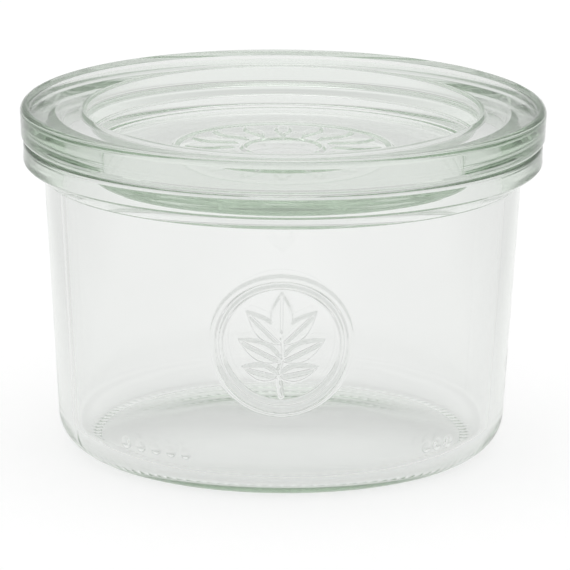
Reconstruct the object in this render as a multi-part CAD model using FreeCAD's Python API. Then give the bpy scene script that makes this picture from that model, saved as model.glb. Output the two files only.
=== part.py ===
import FreeCAD, Part
import math
import os

# A small glass preserving jar of the mould kind, with its pressed glass lid.
# The jar is a straight-sided tumbler that narrows towards the foot, with a thick collar
# round its mouth. The lid rests face to face on the collar, and its boss hangs in the mouth.
# Millimetres, +Z up. The origin is the centre of the circle on which the jar stands.

# Jar: outside.
jar_height = 52.4             # foot to sealing face
foot_ring_width = 1.3         # width of the ring that touches the ground
foot_ring_radius = 1.2        # round between that ring and the underside
push_up = 1.9                 # how far the underside domes up inside the foot ring
crown_width = 12.0            # radius at which the dome's level crown would turn into its slope
dome_radius = 115             # round between crown and slope
heel_radius = 6.0             # round between foot and wall
wall_taper = 0.059            # widening of the wall for each millimetre of height
collar_radius = 43.4          # outside of the collar
collar_face_height = 3.5      # straight outer face of the collar
collar_slope_height = 2.5     # sloping underside of the collar
collar_slope_width = 3.5      # how far that underside runs inwards
collar_edge_radius = 0.7      # edge between the sealing face and the collar's outer face
collar_lower_radius = 0.6     # edge between the outer face and the sloping underside
neck_fillet = 0.5             # hollow where the collar meets the wall
# Jar: inside.
wall_thickness = 2.5
floor_thickness = 2.1         # from the underside to the inner floor
floor_corner_radius = 4.0     # round between inner floor and inner wall
sealing_face_width = 5.6      # flat top of the collar, from its outer face to the mouth
mouth_depth = 3.0             # height over which the mouth runs into the inner wall
mouth_edge_radius = 0.9
mouth_foot_radius = 0.5       # where the mouth has run into the inner wall

# Lid: outer ring.
lid_overhang = 0.6            # how far the lid's upper edge stands out past the collar
lid_side_draft = 0.25         # how much narrower it is at the sealing face
lid_height = 6.1              # sealing face to upper edge
lid_upper_edge_radius = 1.2
lid_lower_edge_radius = 1.2
ring_fall = 0.95              # how far the top of the ring slopes down to the recess
# Lid: boss underneath.
boss_clearance = 4.0          # gap between the boss and the mouth
boss_depth = 5.3              # how far the boss hangs below the sealing face
boss_draft = 0.6              # how much narrower the boss is at its lower end
boss_edge_radius = 1.0
boss_root_fillet = 0.8
# Lid: recess on top, which centres the foot of the next jar in a stack.
foot_clearance = 0.3          # gap between that foot's ring and the recess's lower corner
recess_depth = 7.8            # panel below the lid's upper edge
recess_lean = 1.2             # how far the recess's wall leans outwards
recess_corner_radius = 0.6
recess_edge_radius = 0.8

# Shared by jar and lid.
mouth_radius = collar_radius - sealing_face_width
wall_angle = math.atan(wall_taper)
neck_height = jar_height - collar_face_height - collar_slope_height
neck_radius = collar_radius - collar_slope_width
# Where the straight wall would meet the ground if the heel were sharp.
wall_foot_radius = neck_radius - neck_height * wall_taper
# Where the heel's round meets the ground.
foot_outer_radius = wall_foot_radius - heel_radius * math.tan((math.pi / 2 - wall_angle) / 2)


def outline(corners):
    """A closed outline of (radius, height, rounding) corners, each rounded by a tangent arc."""
    edges = []
    count = len(corners)
    starts = []
    ends = []
    arcs = []
    for index, (radius, height, rounding) in enumerate(corners):
        here = FreeCAD.Vector(radius, 0, height)
        before = FreeCAD.Vector(corners[index - 1][0], 0, corners[index - 1][1])
        after = FreeCAD.Vector(corners[(index + 1) % count][0], 0, corners[(index + 1) % count][1])
        if rounding == 0:
            starts.append(here)
            ends.append(here)
            arcs.append(None)
            continue
        to_before = (before - here).normalize()
        to_after = (after - here).normalize()
        half_angle = to_before.getAngle(to_after) / 2
        trim = rounding / math.tan(half_angle)
        bisector = (to_before + to_after).normalize()
        centre = here + bisector * (rounding / math.sin(half_angle))
        starts.append(here + to_before * trim)
        ends.append(here + to_after * trim)
        arcs.append(centre - bisector * rounding)
    for index in range(count):
        if arcs[index] is not None:
            edges.append(Part.Arc(starts[index], arcs[index], ends[index]).toShape())
        following = (index + 1) % count
        edges.append(Part.LineSegment(ends[index], starts[following]).toShape())
    return Part.Wire(edges)


def turned(corners):
    """The outline spun once round the upright axis."""
    return Part.Face(outline(corners)).revolve(FreeCAD.Vector(0, 0, 0), FreeCAD.Vector(0, 0, 1), 360)


def make_jar():
    """Foot, heel, tapered wall and collar in one piece of glass, open at the top."""
    inner_wall_offset = wall_thickness / math.cos(wall_angle)
    inner_floor_radius = wall_foot_radius + floor_thickness * wall_taper - inner_wall_offset
    mouth_foot_height = jar_height - mouth_depth
    inner_mouth_radius = wall_foot_radius + mouth_foot_height * wall_taper - inner_wall_offset
    foot_inner_radius = foot_outer_radius - foot_ring_width
    corners = [
        (0, push_up, 0),
        (crown_width, push_up, dome_radius),
        (foot_inner_radius, 0, foot_ring_radius),
        (wall_foot_radius, 0, heel_radius),
        (neck_radius, neck_height, neck_fillet),
        (collar_radius, jar_height - collar_face_height, collar_lower_radius),
        (collar_radius, jar_height, collar_edge_radius),
        (mouth_radius, jar_height, mouth_edge_radius),
        (inner_mouth_radius, mouth_foot_height, mouth_foot_radius),
        (inner_floor_radius, floor_thickness, floor_corner_radius),
        (crown_width, push_up + floor_thickness, dome_radius),
        (0, push_up + floor_thickness, 0),
    ]
    return turned(corners)


def make_lid():
    """Outer ring, deep recess on top and boss underneath, in one piece of glass."""
    top = jar_height + lid_height
    lid_radius = collar_radius + lid_overhang
    boss_radius = mouth_radius - boss_clearance
    recess_radius = foot_outer_radius + foot_clearance
    corners = [
        (0, jar_height - boss_depth, 0),
        (boss_radius - boss_draft, jar_height - boss_depth, boss_edge_radius),
        (boss_radius, jar_height, boss_root_fillet),
        (lid_radius - lid_side_draft, jar_height, lid_lower_edge_radius),
        (lid_radius, top, lid_upper_edge_radius),
        (recess_radius + recess_lean, top - ring_fall, recess_edge_radius),
        (recess_radius, top - recess_depth, recess_corner_radius),
        (0, top - recess_depth, 0),
    ]
    return turned(corners)


os.makedirs("parts", exist_ok=True)
for name, make in (("jar", make_jar), ("lid", make_lid)):
    make().exportStep(f"parts/{name}.step")
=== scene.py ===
import math

import bmesh
import bpy
from mathutils import Matrix, Vector


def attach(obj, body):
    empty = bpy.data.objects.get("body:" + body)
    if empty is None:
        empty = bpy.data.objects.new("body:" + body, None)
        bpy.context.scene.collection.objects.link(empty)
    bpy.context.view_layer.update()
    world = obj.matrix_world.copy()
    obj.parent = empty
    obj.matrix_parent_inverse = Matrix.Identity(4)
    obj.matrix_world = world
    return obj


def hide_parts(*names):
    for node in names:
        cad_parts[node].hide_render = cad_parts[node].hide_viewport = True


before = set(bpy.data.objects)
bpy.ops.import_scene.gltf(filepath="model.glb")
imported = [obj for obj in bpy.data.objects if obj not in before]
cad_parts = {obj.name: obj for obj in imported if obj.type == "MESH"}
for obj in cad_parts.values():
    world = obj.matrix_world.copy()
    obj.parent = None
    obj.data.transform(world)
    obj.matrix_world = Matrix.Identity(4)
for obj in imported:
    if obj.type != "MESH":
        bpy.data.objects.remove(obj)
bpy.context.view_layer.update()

scene = bpy.context.scene

# A small glass preserving jar of the mould kind with its pressed glass lid lying on it.
# Metres, +Z up. The origin is the centre of the circle on which the jar stands.
mm = 0.001

# ---------------------------------------------------------------------------------------
# The jar. A straight-sided tumbler pressed in one piece from clear soda-lime glass, faintly
# green, with a thick collar round its mouth. It stands on a narrow knurled foot ring.
# ---------------------------------------------------------------------------------------
jar_height = 52.4
collar_radius = 43.4
collar_face_height = 3.5
collar_slope_height = 2.5
collar_slope_width = 3.5
collar_edge_round = 0.7
collar_lower_round = 0.6
neck_round = 0.5
wall_taper = 0.059
wall_thickness = 2.5
heel_round = 6.0
foot_ring_width = 1.3
foot_ring_round = 1.2
push_up = 1.9                 # height of the shallow dome under the floor
push_up_flat = 12.0           # radius where the dome's crown would turn into its slope
push_up_round = 115
floor_thickness = 2.1
floor_corner_round = 4.0
mouth_radius = 37.8
mouth_depth = 3.0
mouth_edge_round = 0.9
mouth_foot_round = 0.5
jar_steps = 432               # a whole number of knurls
arc_step = math.radians(7.0)  # one facet of a rounded corner
fewest_facets = 3
first_share = 16              # a sixteenth is spun, then doubled until it closes
speck = 0.01                  # places closer than this count as one
weld = 0.001                  # points closer than this are joined
relief_run = 0.56             # longest piece of a run that carries relief
plain_run = 5.0               # and of any other straight run
relief_cuts = 2               # further cuts across each face under the relief

neck_height = jar_height - collar_face_height - collar_slope_height
neck_radius = collar_radius - collar_slope_width
wall_foot_radius = neck_radius - neck_height * wall_taper
wall_angle = math.atan(wall_taper)
foot_outer_radius = wall_foot_radius - heel_round * math.tan((math.pi / 2 - wall_angle) / 2)
foot_inner_radius = foot_outer_radius - foot_ring_width


def wall_radius(height):
    """Outside radius of the straight wall at a height, in millimetres."""
    return wall_foot_radius + height * wall_taper


def turned(corners, finest, longest, steps):
    """Spin a section of (radius, height, rounding) corners into a closed piece of glass.

    The corners are rounded by bevels and the long straight runs are divided: to `finest`
    where both of a run's corners have a rounding below zero, which means sharp with relief.
    """
    shape = bmesh.new()
    points = [shape.verts.new((radius * mm, 0, height * mm))
              for radius, height, rounding in corners]
    for first, second in zip(points, points[1:]):
        shape.edges.new((first, second))
    relief_runs = []
    for (first, second), before, after in zip(zip(points, points[1:]), corners, corners[1:]):
        if before[2] < 0 and after[2] < 0:
            relief_runs.append((first.co.copy(), second.co.copy()))
    for index in range(1, len(corners) - 1):
        rounding = corners[index][2]
        if rounding <= 0:
            continue
        here = Vector(corners[index][:2])
        back = (Vector(corners[index - 1][:2]) - here).normalized()
        ahead = (Vector(corners[index + 1][:2]) - here).normalized()
        opening = back.angle(ahead)
        trim = rounding / math.tan(opening / 2)
        facets = max(fewest_facets, math.ceil((math.pi - opening) / arc_step))
        bmesh.ops.bevel(shape, geom=[points[index]], offset=trim * mm, offset_type="OFFSET",
                        segments=facets, profile=0.5, affect="VERTICES", material=-1)
    for edge in list(shape.edges):
        middle = (edge.verts[0].co + edge.verts[1].co) / 2
        relief = any((middle - (a + b) / 2).length < speck * mm for a, b in relief_runs)
        pieces = math.ceil(edge.calc_length() / mm / (finest if relief else longest))
        if pieces > 1:
            bmesh.ops.subdivide_edges(shape, edges=[edge], cuts=pieces - 1)
    bmesh.ops.spin(shape, geom=list(shape.verts) + list(shape.edges), cent=(0, 0, 0),
                   axis=(0, 0, 1), angle=2 * math.pi / first_share, steps=steps // first_share,
                   use_merge=False, use_duplicate=False)
    share = first_share
    while share > 1:
        twin = bmesh.ops.duplicate(shape, geom=shape.verts[:] + shape.edges[:] + shape.faces[:])
        twin_points = [item for item in twin["geom"] if isinstance(item, bmesh.types.BMVert)]
        turn = Matrix.Rotation(2 * math.pi / share, 3, "Z")
        bmesh.ops.rotate(shape, verts=twin_points, cent=(0, 0, 0), matrix=turn)
        share //= 2
    bmesh.ops.remove_doubles(shape, verts=shape.verts, dist=weld * mm)
    bmesh.ops.recalc_face_normals(shape, faces=shape.faces)
    return shape


def finished(name, shape, glass):
    """Turn the worked shape into a piece whose flats stay flat and whose rounds shine."""
    mesh = bpy.data.meshes.new(name)
    shape.to_mesh(mesh)
    shape.free()
    mesh.polygons.foreach_set("use_smooth", [True] * len(mesh.polygons))
    piece = bpy.data.objects.new(name, mesh)
    scene.collection.objects.link(piece)
    piece.data.materials.append(glass)
    even = piece.modifiers.new("even shine", "WEIGHTED_NORMAL")
    even.mode = "FACE_AREA"
    even.keep_sharp = False
    return piece


medallion_height = 26.8       # its centre above the ground
medallion_half = 12.4         # half the side of the finely divided patch
relief_low = 5.9              # the wall is finely divided from here up to the medallion's top

crown_height = push_up + floor_thickness
mouth_foot_height = jar_height - mouth_depth
inner_offset = wall_thickness / math.cos(wall_angle)
jar_shape = turned([
    (0, push_up, 0),
    (push_up_flat, push_up, push_up_round),
    (foot_inner_radius, 0, foot_ring_round),
    (wall_foot_radius, 0, heel_round),
    (wall_radius(relief_low), relief_low, -1),
    (wall_radius(medallion_height + medallion_half), medallion_height + medallion_half, -1),
    (neck_radius, neck_height, neck_round),
    (collar_radius, jar_height - collar_face_height, collar_lower_round),
    (collar_radius, jar_height, collar_edge_round),
    (mouth_radius, jar_height, mouth_edge_round),
    (wall_radius(mouth_foot_height) - inner_offset, mouth_foot_height, mouth_foot_round),
    (wall_radius(floor_thickness) - inner_offset, floor_thickness, floor_corner_round),
    (push_up_flat, crown_height, push_up_round),
    (0, crown_height, 0),
], relief_run, plain_run, jar_steps)

# Relief: a plain medallion in the front wall, a leafy sprig within two rings, and two short
# rows of round mould dots above the heel. The mould leaves them standing well under a
# millimetre proud, with soft edges.
relief_rise = 0.7
relief_edge = 0.3             # width over which an edge rises
ring_lines = ((11.3, 0.50), (9.9, 0.30))        # radius and half width
stem = ((0.0, -8.6), (-0.5, -5.0), (0.3, -1.5), (0.0, 2.2))
stem_half = 0.22
leaves = (                    # foot, tip and half width
    ((0.0, 1.6), (0.0, 8.9), 1.75),
    ((-0.1, 0.2), (-5.6, 5.6), 1.6), ((0.1, 0.2), (5.6, 5.6), 1.6),
    ((-0.1, -2.6), (-7.0, 0.8), 1.6), ((0.2, -2.6), (7.0, 0.8), 1.6),
    ((-0.5, -5.2), (-6.3, -3.9), 1.35), ((-0.4, -5.2), (5.9, -3.9), 1.35),
)
leaf_belly = 0.85             # below 1 the leaf is widest nearer its foot
midrib_half = 0.2
midrib_depth = 0.75
midrib_end = 0.93             # share of the leaf's length the midrib takes up


def soft_step(inside, edge):
    """0 outside, 1 well inside, with a smooth rise over the edge width."""
    share = min(max(inside / edge + 0.5, 0), 1)
    return share * share * (3 - 2 * share)


def medallion(across, up):
    """Height of the relief, 0 to 1, at a place given in millimetres from its centre."""
    height = 0
    place = Vector((across, up))
    from_centre = place.length
    for radius, half in ring_lines:
        height = max(height, soft_step(half - abs(from_centre - radius), relief_edge))
    for first, second in zip(stem, stem[1:]):
        start = Vector(first)
        run = Vector(second) - start
        share = min(max((place - start).dot(run) / run.length_squared, 0), 1)
        aside = (place - start - run * share).length
        height = max(height, soft_step(stem_half - aside, relief_edge))
    for foot, tip, half in leaves:
        start = Vector(foot)
        run = Vector(tip) - start
        share = (place - start).dot(run) / run.length_squared
        if not 0 < share < 1:
            continue
        aside = (place - start - run * share).length
        blade = half * math.sin(math.pi * share ** leaf_belly) - aside
        groove = midrib_depth * math.exp(-(aside / midrib_half) ** 2)
        height = max(height, soft_step(blade, relief_edge) * (1 - groove * (share < midrib_end)))
    return height


dot_height = 7.2
dot_radius = 1.0
dot_rise = 0.30
dot_reach = 2.5               # degrees of patch to each side of a dot
dot_angles = (-42.5, -37.6, -33.0, -28.6, -24.4, 39.6, 43.2, 47.0)     # degrees from the front


def dots(angle, height):
    """Height of the mould dots, 0 to 1, at an angle from the front and a height."""
    tallest = 0
    for degrees in dot_angles:
        across = (angle - math.radians(degrees)) * wall_radius(dot_height)
        away = math.hypot(across, height - dot_height)
        tallest = max(tallest, max(1 - (away / dot_radius) ** 2, 0))
    return tallest


def on_relief(place):
    """Whether a point lies on the outside of the wall, within the medallion or the dots."""
    height = place.z / mm
    outside = math.hypot(place.x, place.y) / mm > wall_radius(height) - wall_thickness / 2
    if not outside or place.y > 0:
        return False
    if abs(height - dot_height) < dot_radius + relief_edge:
        angle = math.degrees(math.atan2(place.x, -place.y))
        return any(abs(angle - degrees) < dot_reach for degrees in dot_angles)
    tall = abs(height - medallion_height) < medallion_half - speck
    return tall and abs(place.x / mm) < medallion_half


patch = [face for face in jar_shape.faces if on_relief(face.calc_center_median())]
patch_edges = list({edge for face in patch for edge in face.edges})
bmesh.ops.subdivide_edges(jar_shape, edges=patch_edges, cuts=relief_cuts, use_grid_fill=True)
for vertex in jar_shape.verts:
    if not on_relief(vertex.co):
        continue
    height = vertex.co.z / mm
    angle = math.atan2(vertex.co.x, -vertex.co.y)
    across = angle * wall_radius(medallion_height)
    if height < medallion_height - medallion_half:
        rise = dot_rise * dots(angle, height)
    else:
        rise = relief_rise * medallion(across, height - medallion_height)
    radius = (wall_radius(height) + rise) * mm
    vertex.co.x = radius * math.sin(angle)
    vertex.co.y = -radius * math.cos(angle)

# Knurls: short bars across the foot ring keep the hot jar from sticking or slipping. Each
# takes four steps of the spin, two of them raised.
knurl_depth = 0.06
knurl_steps = 4
knurl_bar_steps = 2
level_with_ground = 0.02
ring_margin = 0.1
for vertex in jar_shape.verts:
    radius = math.hypot(vertex.co.x, vertex.co.y) / mm
    on_ring = foot_inner_radius < radius < foot_outer_radius + ring_margin
    if vertex.co.z / mm > level_with_ground or not on_ring:
        continue
    step = round(math.atan2(vertex.co.y, vertex.co.x) / (2 * math.pi) * jar_steps)
    if step % knurl_steps >= knurl_bar_steps:
        vertex.co.z += knurl_depth * mm

# Mould seams: two faint upright lines on opposite sides, where the mould's halves met.
seam_rise = 0.05
seam_foot = 1.0               # height at which the seam starts, above the foot's knurls
seam_inset = 1.0              # how far inside the wall's outline a point may lie and be moved
seam_angle = math.radians(205)
seam_step = round(seam_angle / (2 * math.pi) * jar_steps)
for vertex in jar_shape.verts:
    height = vertex.co.z / mm
    radius = math.hypot(vertex.co.x, vertex.co.y) / mm
    step = round(math.atan2(vertex.co.y, vertex.co.x) / (2 * math.pi) * jar_steps)
    on_seam = (step - seam_step) % (jar_steps // 2) == 0 and seam_foot < height < neck_height
    if on_seam and radius > wall_radius(height) - seam_inset:
        vertex.co.x *= 1 + seam_rise / radius
        vertex.co.y *= 1 + seam_rise / radius


wave_stretch = (1, 1, 2.5)    # the waves lie along the rings
ripple_scale = 900


def surface_group():
    """Height of pressed glass: slow waves from the mould and a fine fire-polished ripple."""
    group = bpy.data.node_groups.new("pressed glass surface", "ShaderNodeTree")
    group.interface.new_socket("Wave size", in_out="INPUT", socket_type="NodeSocketFloat")
    group.interface.new_socket("Wave height", in_out="INPUT", socket_type="NodeSocketFloat")
    group.interface.new_socket("Ripple height", in_out="INPUT", socket_type="NodeSocketFloat")
    group.interface.new_socket("Height", in_out="OUTPUT", socket_type="NodeSocketFloat")
    nodes, links = group.nodes, group.links
    taken = nodes.new("NodeGroupInput")
    given = nodes.new("NodeGroupOutput")
    place = nodes.new("ShaderNodeTexCoord")
    flat = nodes.new("ShaderNodeMapping")
    flat.inputs["Scale"].default_value = wave_stretch
    waves = nodes.new("ShaderNodeTexNoise")
    waves.inputs["Detail"].default_value = 1
    ripple = nodes.new("ShaderNodeTexNoise")
    ripple.inputs["Scale"].default_value = ripple_scale
    ripple.inputs["Detail"].default_value = 0
    tall = nodes.new("ShaderNodeMath")
    tall.operation = "MULTIPLY"
    fine = nodes.new("ShaderNodeMath")
    fine.operation = "MULTIPLY"
    both = nodes.new("ShaderNodeMath")
    both.operation = "ADD"
    links.new(place.outputs["Object"], flat.inputs["Vector"])
    links.new(flat.outputs["Vector"], waves.inputs["Vector"])
    links.new(taken.outputs["Wave size"], waves.inputs["Scale"])
    links.new(place.outputs["Object"], ripple.inputs["Vector"])
    links.new(waves.outputs["Fac"], tall.inputs[0])
    links.new(taken.outputs["Wave height"], tall.inputs[1])
    links.new(ripple.outputs["Fac"], fine.inputs[0])
    links.new(taken.outputs["Ripple height"], fine.inputs[1])
    links.new(tall.outputs["Value"], both.inputs[0])
    links.new(fine.outputs["Value"], both.inputs[1])
    links.new(both.outputs["Value"], given.inputs["Height"])
    return group


surface = surface_group()


glass_ior = 1.52
glass_shadow = (0.72, 0.76, 0.73, 1)      # what one surface lets through to its shadow


def clear_glass(name, tint, density, wave_size, wave_height, ripple_height):
    """Soda-lime glass: clear at the surface, greener the further light runs inside it."""
    glass = bpy.data.materials.new(name)
    glass.use_nodes = True
    nodes, links = glass.node_tree.nodes, glass.node_tree.links
    nodes.clear()
    relief = nodes.new("ShaderNodeGroup")
    relief.node_tree = surface
    relief.inputs["Wave size"].default_value = wave_size
    relief.inputs["Wave height"].default_value = wave_height
    relief.inputs["Ripple height"].default_value = ripple_height
    bump = nodes.new("ShaderNodeBump")
    bump.inputs["Strength"].default_value = 1.0
    bump.inputs["Distance"].default_value = mm
    skin = nodes.new("ShaderNodeBsdfPrincipled")
    skin.inputs["Base Color"].default_value = (1, 1, 1, 1)
    skin.inputs["Roughness"].default_value = 0.0
    skin.inputs["IOR"].default_value = glass_ior
    skin.inputs["Transmission Weight"].default_value = 1.0
    inside = nodes.new("ShaderNodeVolumeAbsorption")
    inside.inputs["Color"].default_value = tint
    inside.inputs["Density"].default_value = density
    light = nodes.new("ShaderNodeLightPath")
    thin = nodes.new("ShaderNodeBsdfTransparent")
    thin.inputs["Color"].default_value = glass_shadow
    either = nodes.new("ShaderNodeMixShader")
    out = nodes.new("ShaderNodeOutputMaterial")
    links.new(relief.outputs["Height"], bump.inputs["Height"])
    links.new(bump.outputs["Normal"], skin.inputs["Normal"])
    links.new(light.outputs["Is Shadow Ray"], either.inputs[0])
    links.new(skin.outputs["BSDF"], either.inputs[1])
    links.new(thin.outputs["BSDF"], either.inputs[2])
    links.new(either.outputs["Shader"], out.inputs["Surface"])
    links.new(inside.outputs["Volume"], out.inputs["Volume"])
    return glass


glass_tint = (0.62, 0.73, 0.61, 1)
glass_density = 25            # green per metre of glass
wave_size = 70
wave_height = 0.02
ripple_height = 0.0006
jar_glass = clear_glass("clear jar glass", glass_tint, glass_density, wave_size, wave_height,
                        ripple_height)
jar = finished("pressed_jar", jar_shape, jar_glass)
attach(jar, "root")
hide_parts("jar")

# ---------------------------------------------------------------------------------------
# The lid. One pressed disc of the same glass: a thick outer ring, a deep round recess on
# top and a boss underneath that centres it in the mouth. It lies loose on the collar.
# ---------------------------------------------------------------------------------------
seat_gap = 0.06               # film of air between the two ground faces
lid_radius = 44.0
lid_side_draft = 0.25
lid_height = 6.1
lid_upper_round = 1.2
lid_lower_round = 1.2
ring_fall = 0.95
boss_clearance = 4.0
boss_depth = 5.3
boss_draft = 0.6
boss_edge_round = 1.0
boss_root_round = 0.8
foot_clearance = 0.3
recess_depth = 7.8
recess_lean = 1.2
recess_corner_round = 0.6
recess_edge_round = 0.8
lid_steps = 384

lid_top = jar_height + lid_height
seat = jar_height + seat_gap
boss_bottom = jar_height - boss_depth
boss_radius = mouth_radius - boss_clearance
recess_radius = foot_outer_radius + foot_clearance
panel_height = lid_top - recess_depth
rosette_outer = 19.6          # the panel is finely divided from here to rosette_inner
rosette_inner = 5.0
rosette_run = 0.3

lid_shape = turned([
    (0, boss_bottom, 0),
    (boss_radius - boss_draft, boss_bottom, boss_edge_round),
    (boss_radius, seat, boss_root_round),
    (lid_radius - lid_side_draft, seat, lid_lower_round),
    (lid_radius, lid_top, lid_upper_round),
    (recess_radius + recess_lean, lid_top - ring_fall, recess_edge_round),
    (recess_radius, panel_height, recess_corner_round),
    (rosette_outer, panel_height, -1),
    (rosette_inner, panel_height, -1),
    (0, panel_height, 0),
], rosette_run, plain_run, lid_steps)

# Relief: a pressed rosette in the middle of the recess, sixteen petals between two rings.
petals = 16
petal_foot = 8.2
petal_tip = 16.6
petal_half = 1.25
petal_belly = 1.3             # above 1 the petal is widest nearer its tip
rosette_rise = 0.30
rosette_rings = ((18.2, 0.4), (6.6, 0.3))


def rosette(across, along):
    """Height of the lid's relief, 0 to 1, at a place given in millimetres from its centre."""
    from_centre = math.hypot(across, along)
    height = 0
    for radius, half in rosette_rings:
        height = max(height, soft_step(half - abs(from_centre - radius), relief_edge))
    slice_angle = 2 * math.pi / petals
    angle = (math.atan2(along, across) + slice_angle / 2) % slice_angle - slice_angle / 2
    share = (from_centre * math.cos(angle) - petal_foot) / (petal_tip - petal_foot)
    if 0 < share < 1:
        aside = abs(from_centre * math.sin(angle))
        blade = petal_half * math.sin(math.pi * share ** petal_belly) - aside
        height = max(height, soft_step(blade, relief_edge))
    return height


for vertex in lid_shape.verts:
    if abs(vertex.co.z / mm - panel_height) < speck:
        vertex.co.z += rosette_rise * mm * rosette(vertex.co.x / mm, vertex.co.y / mm)

lid_glass = clear_glass("clear lid glass", glass_tint, glass_density, wave_size, wave_height,
                        ripple_height)
lid = finished("pressed_lid", lid_shape, lid_glass)
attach(lid, "root")
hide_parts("lid")

# ---------------------------------------------------------------------------------------
# The studio: a pale matt table, soft light from all round, a weak soft box overhead and a
# long-lens camera that looks down on the jar a little.
# ---------------------------------------------------------------------------------------
table_reach = 3.0
table_glow = 0.68             # share of the table's white that no shadow takes away
table_through_glass = 0.84    # painted brightness of that share behind glass, in the strip under the jar
table_mirrored = 0.95         # and in a reflection
table_grey = (0.40, 0.40, 0.40, 1)        # the share that takes shadows
table_sides = 96
painted_pool_half_width = 0.040            # half the width of the painted strip of light the jar stands on, seen through glass
painted_pool_fade = 0.10        # where the painted light beside it has fallen off
painted_side_light = 0.60             # how bright the painted light on the table is there, seen through glass
table_shape = bmesh.new()
bmesh.ops.create_circle(table_shape, cap_ends=True, segments=table_sides, radius=table_reach)
table_mesh = bpy.data.meshes.new("table")
table_shape.to_mesh(table_mesh)
table_shape.free()
table = bpy.data.objects.new("table", table_mesh)
scene.collection.objects.link(table)
table_paint = bpy.data.materials.new("pale table")
table_paint.use_nodes = True
nodes, links = table_paint.node_tree.nodes, table_paint.node_tree.links
nodes.clear()
matt = nodes.new("ShaderNodeBsdfDiffuse")
matt.inputs["Color"].default_value = table_grey
glow = nodes.new("ShaderNodeEmission")
glow.inputs["Color"].default_value = (1, 1, 1, 1)
rays = nodes.new("ShaderNodeLightPath")
place = nodes.new("ShaderNodeTexCoord")
parts = nodes.new("ShaderNodeSeparateXYZ")
aside = nodes.new("ShaderNodeMath")
aside.operation = "ABSOLUTE"
# Painted light: behind glass the table glows brightest in a strip under the jar and dimmer to
# either side.
painted_light_pool = nodes.new("ShaderNodeMapRange")
painted_light_pool.inputs["From Min"].default_value = painted_pool_half_width
painted_light_pool.inputs["From Max"].default_value = painted_pool_fade
painted_light_pool.inputs["To Min"].default_value = table_through_glass
painted_light_pool.inputs["To Max"].default_value = painted_side_light
through_glass = nodes.new("ShaderNodeMath")
through_glass.operation = "MULTIPLY"
only_mirrored = nodes.new("ShaderNodeMath")
only_mirrored.operation = "SUBTRACT"
only_mirrored.use_clamp = True
mirrored = nodes.new("ShaderNodeMath")
mirrored.operation = "MULTIPLY"
mirrored.inputs[1].default_value = table_mirrored
direct = nodes.new("ShaderNodeMath")
direct.operation = "MAXIMUM"
seen = nodes.new("ShaderNodeMath")
seen.operation = "MAXIMUM"
strength = nodes.new("ShaderNodeMath")
strength.operation = "MULTIPLY"
strength.inputs[1].default_value = table_glow
sum_of = nodes.new("ShaderNodeAddShader")
out = nodes.new("ShaderNodeOutputMaterial")
links.new(place.outputs["Object"], parts.inputs["Vector"])
links.new(parts.outputs["X"], aside.inputs[0])
links.new(aside.outputs["Value"], painted_light_pool.inputs["Value"])
links.new(rays.outputs["Is Transmission Ray"], through_glass.inputs[0])
links.new(painted_light_pool.outputs["Result"], through_glass.inputs[1])
links.new(rays.outputs["Is Glossy Ray"], only_mirrored.inputs[0])
links.new(rays.outputs["Is Transmission Ray"], only_mirrored.inputs[1])
links.new(only_mirrored.outputs["Value"], mirrored.inputs[0])
links.new(rays.outputs["Is Camera Ray"], direct.inputs[0])
links.new(through_glass.outputs["Value"], direct.inputs[1])
links.new(direct.outputs["Value"], seen.inputs[0])
links.new(mirrored.outputs["Value"], seen.inputs[1])
links.new(seen.outputs["Value"], strength.inputs[0])
links.new(strength.outputs["Value"], glow.inputs["Strength"])
links.new(matt.outputs["BSDF"], sum_of.inputs[0])
links.new(glow.outputs["Emission"], sum_of.inputs[1])
links.new(sum_of.outputs["Shader"], out.inputs["Surface"])
table.data.materials.append(table_paint)

# Brightness of the room from straight below (0) over level (0.5) to straight above (1).
light_stops = ((0.0, 0.95), (0.50, 0.95), (0.57, 0.56), (0.64, 0.60), (0.70, 0.96),
               (0.76, 0.94), (0.84, 0.78), (1.0, 0.78))
world = bpy.data.worlds.new("soft studio")
scene.world = world
world.use_nodes = True
nodes, links = world.node_tree.nodes, world.node_tree.links
nodes.clear()
direction = nodes.new("ShaderNodeTexCoord")
parts = nodes.new("ShaderNodeSeparateXYZ")
height_share = nodes.new("ShaderNodeMapRange")
height_share.inputs["From Min"].default_value = -1
height_share.inputs["From Max"].default_value = 1
shades = nodes.new("ShaderNodeValToRGB")
for position, value in light_stops[1:-1]:
    shades.color_ramp.elements.new(position)
for element, (position, value) in zip(shades.color_ramp.elements, light_stops):
    element.position = position
    element.color = (value, value, value, 1)
rays = nodes.new("ShaderNodeLightPath")
choice = nodes.new("ShaderNodeMix")
choice.data_type = "RGBA"
choice.inputs["B"].default_value = (1, 1, 1, 1)
air = nodes.new("ShaderNodeBackground")
out = nodes.new("ShaderNodeOutputWorld")
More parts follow.
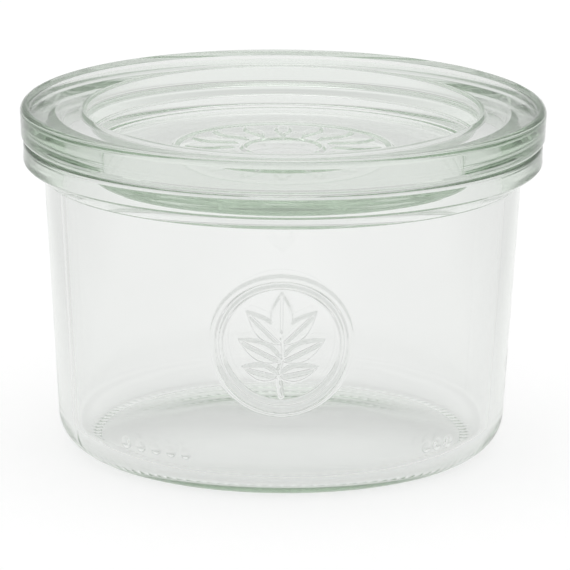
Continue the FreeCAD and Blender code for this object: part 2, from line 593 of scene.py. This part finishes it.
links.new(direction.outputs["Generated"], parts.inputs["Vector"])
links.new(parts.outputs["Z"], height_share.inputs["Value"])
links.new(height_share.outputs["Result"], shades.inputs["Fac"])
links.new(rays.outputs["Is Camera Ray"], choice.inputs["Factor"])
links.new(shades.outputs["Color"], choice.inputs["A"])
links.new(choice.outputs["Result"], air.inputs["Color"])
links.new(air.outputs["Background"], out.inputs["Surface"])

lamp_width = 1.0
lamp_height = 1.3
lamp_power = 1.5
lamp_data = bpy.data.lights.new("soft box", "AREA")
lamp_data.shape = "DISK"
lamp_data.size = lamp_width
lamp_data.energy = lamp_power
lamp = bpy.data.objects.new("soft box", lamp_data)
lamp.location = (0, 0, lamp_height)
scene.collection.objects.link(lamp)

camera_distance = 1.0
camera_pitch = math.radians(14.2)
camera_roll = math.radians(0.45)
aim_height = 28 * mm
frame_side = 570
focal_length = 5950           # in the units of frame_side
axis_across = 282.0           # where in the frame the aim point lies
axis_down = 279.5
sensor_width = 36
nearest = 0.01
farthest = 50
camera_data = bpy.data.cameras.new("camera")
camera_data.sensor_width = sensor_width
camera_data.lens = sensor_width * focal_length * camera_distance / frame_side
camera_data.shift_x = (frame_side / 2 - axis_across) / frame_side
camera_data.shift_y = (axis_down - frame_side / 2) / frame_side
camera_data.clip_start = nearest
camera_data.clip_end = farthest
camera = bpy.data.objects.new("camera", camera_data)
camera.location = (0, -camera_distance * math.cos(camera_pitch),
                   aim_height + camera_distance * math.sin(camera_pitch))
tilt = Matrix.Rotation(math.pi / 2 - camera_pitch, 3, "X")
camera.rotation_euler = (tilt @ Matrix.Rotation(camera_roll, 3, "Z")).to_euler()
scene.collection.objects.link(camera)
scene.camera = camera

# Light has to pass many glass surfaces one behind the other before it reaches the table.
glass_bounces = 48
shadow_layers = 16
scene.cycles.max_bounces = glass_bounces
scene.cycles.transmission_bounces = glass_bounces
scene.cycles.glossy_bounces = glass_bounces
scene.cycles.transparent_max_bounces = shadow_layers
scene.view_settings.view_transform = "Standard"
